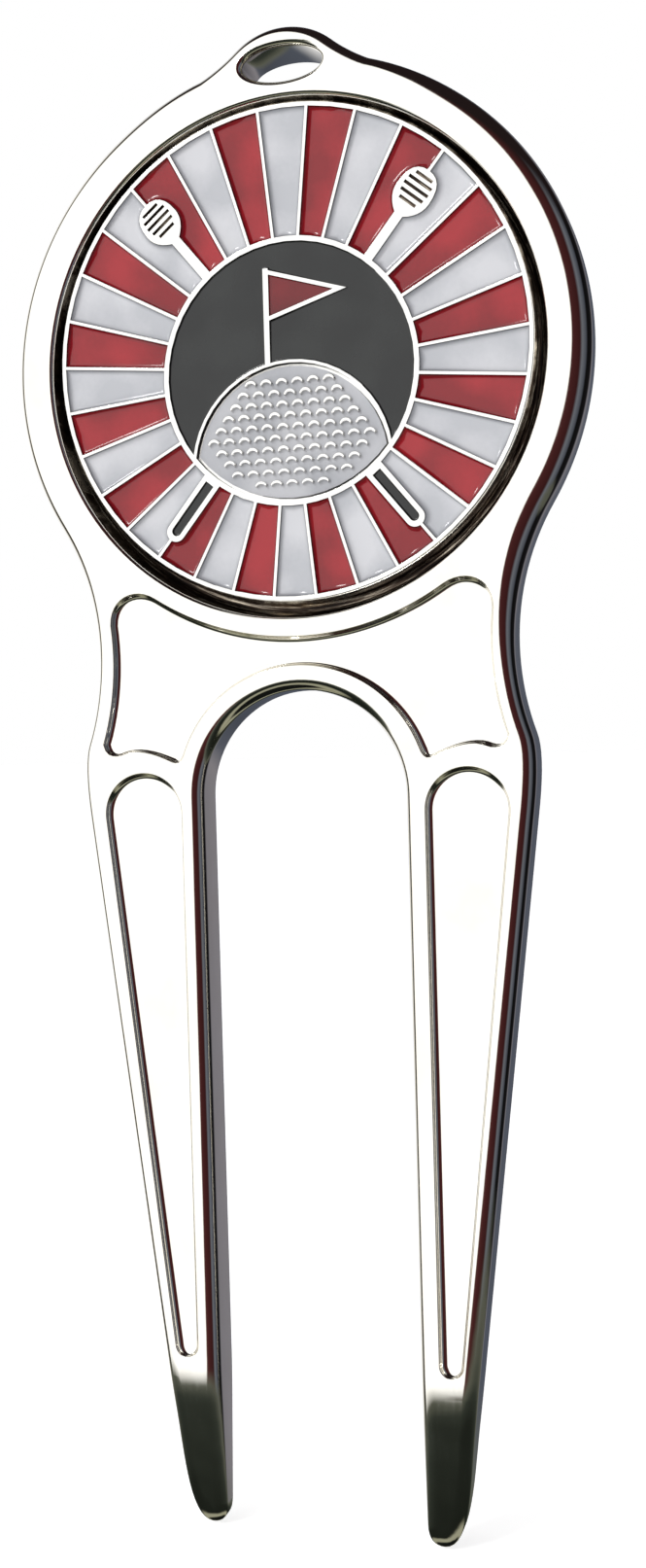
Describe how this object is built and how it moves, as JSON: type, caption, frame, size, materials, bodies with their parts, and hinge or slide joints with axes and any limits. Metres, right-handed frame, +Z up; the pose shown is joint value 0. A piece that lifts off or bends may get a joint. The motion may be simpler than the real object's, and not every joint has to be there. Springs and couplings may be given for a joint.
{
  "type": "divot repair tool",
  "caption": "Two-pronged golf divot repair tool with a key-ring loop and a round enamelled ball marker held in its head by a magnet.",
  "frame": {"origin": "middle of the key-ring hole at the top of the head, halfway through the tool's thickness", "axes": "+Z up, from the prong tips to the key-ring loop; the marker's face looks along -Y; +X to the right seen from the front"},
  "size_m": [0.03, 0.0028, 0.0764],
  "materials": {
    "plated_zinc": "polished nickel plate on a zinc casting",
    "plated_iron": "polished nickel plate on struck iron",
    "magnet_plating": "satin nickel plate on a sintered magnet",
    "red_enamel": "glossy soft enamel",
    "grey_enamel": "glossy soft enamel",
    "black_enamel": "glossy soft enamel"
  },
  "bodies": {
    "tool": {"tool_body": "plated_zinc", "magnet": "magnet_plating"},
    "marker": {"marker_disc": "plated_iron", "enamel_ray_grey_01": "grey_enamel", "enamel_ray_red_01": "red_enamel", "enamel_ray_grey_02": "grey_enamel", "enamel_ray_red_02": "red_enamel", "enamel_ray_grey_03": "grey_enamel", "enamel_ray_red_03": "red_enamel", "enamel_ray_grey_04": "grey_enamel", "enamel_ray_red_04": "red_enamel", "enamel_ray_grey_05": "grey_enamel", "enamel_ray_red_05": "red_enamel", "enamel_ray_grey_06": "grey_enamel", "enamel_ray_red_06": "red_enamel", "enamel_ray_grey_07": "grey_enamel", "enamel_ray_red_07": "red_enamel", "enamel_ray_grey_08": "grey_enamel", "enamel_ray_red_08": "red_enamel", "enamel_ray_grey_09": "grey_enamel", "enamel_ray_red_09": "red_enamel", "enamel_ray_grey_10": "grey_enamel", "enamel_ray_red_10": "red_enamel", "enamel_ray_grey_11": "grey_enamel", "enamel_ray_red_11": "red_enamel", "enamel_ray_grey_12": "grey_enamel", "enamel_ray_red_12": "red_enamel", "enamel_ray_grey_13": "grey_enamel", "enamel_ray_red_13": "red_enamel", "enamel_ray_grey_14": "grey_enamel", "enamel_ray_red_14": "red_enamel", "enamel_ray_grey_15": "grey_enamel", "enamel_ray_red_15": "red_enamel", "enamel_ray_grey_16": "grey_enamel", "enamel_ray_red_16": "red_enamel", "enamel_grip_left": "black_enamel", "enamel_grip_right": "black_enamel", "enamel_sky": "black_enamel", "enamel_ball": "grey_enamel", "enamel_pennant": "red_enamel"}
  },
  "joints": [
    {"name": "marker_lift", "type": "slide", "parent": "tool", "child": "marker", "axis": [0, -1, 0], "range_m": [0, 0.012]}
  ]
}
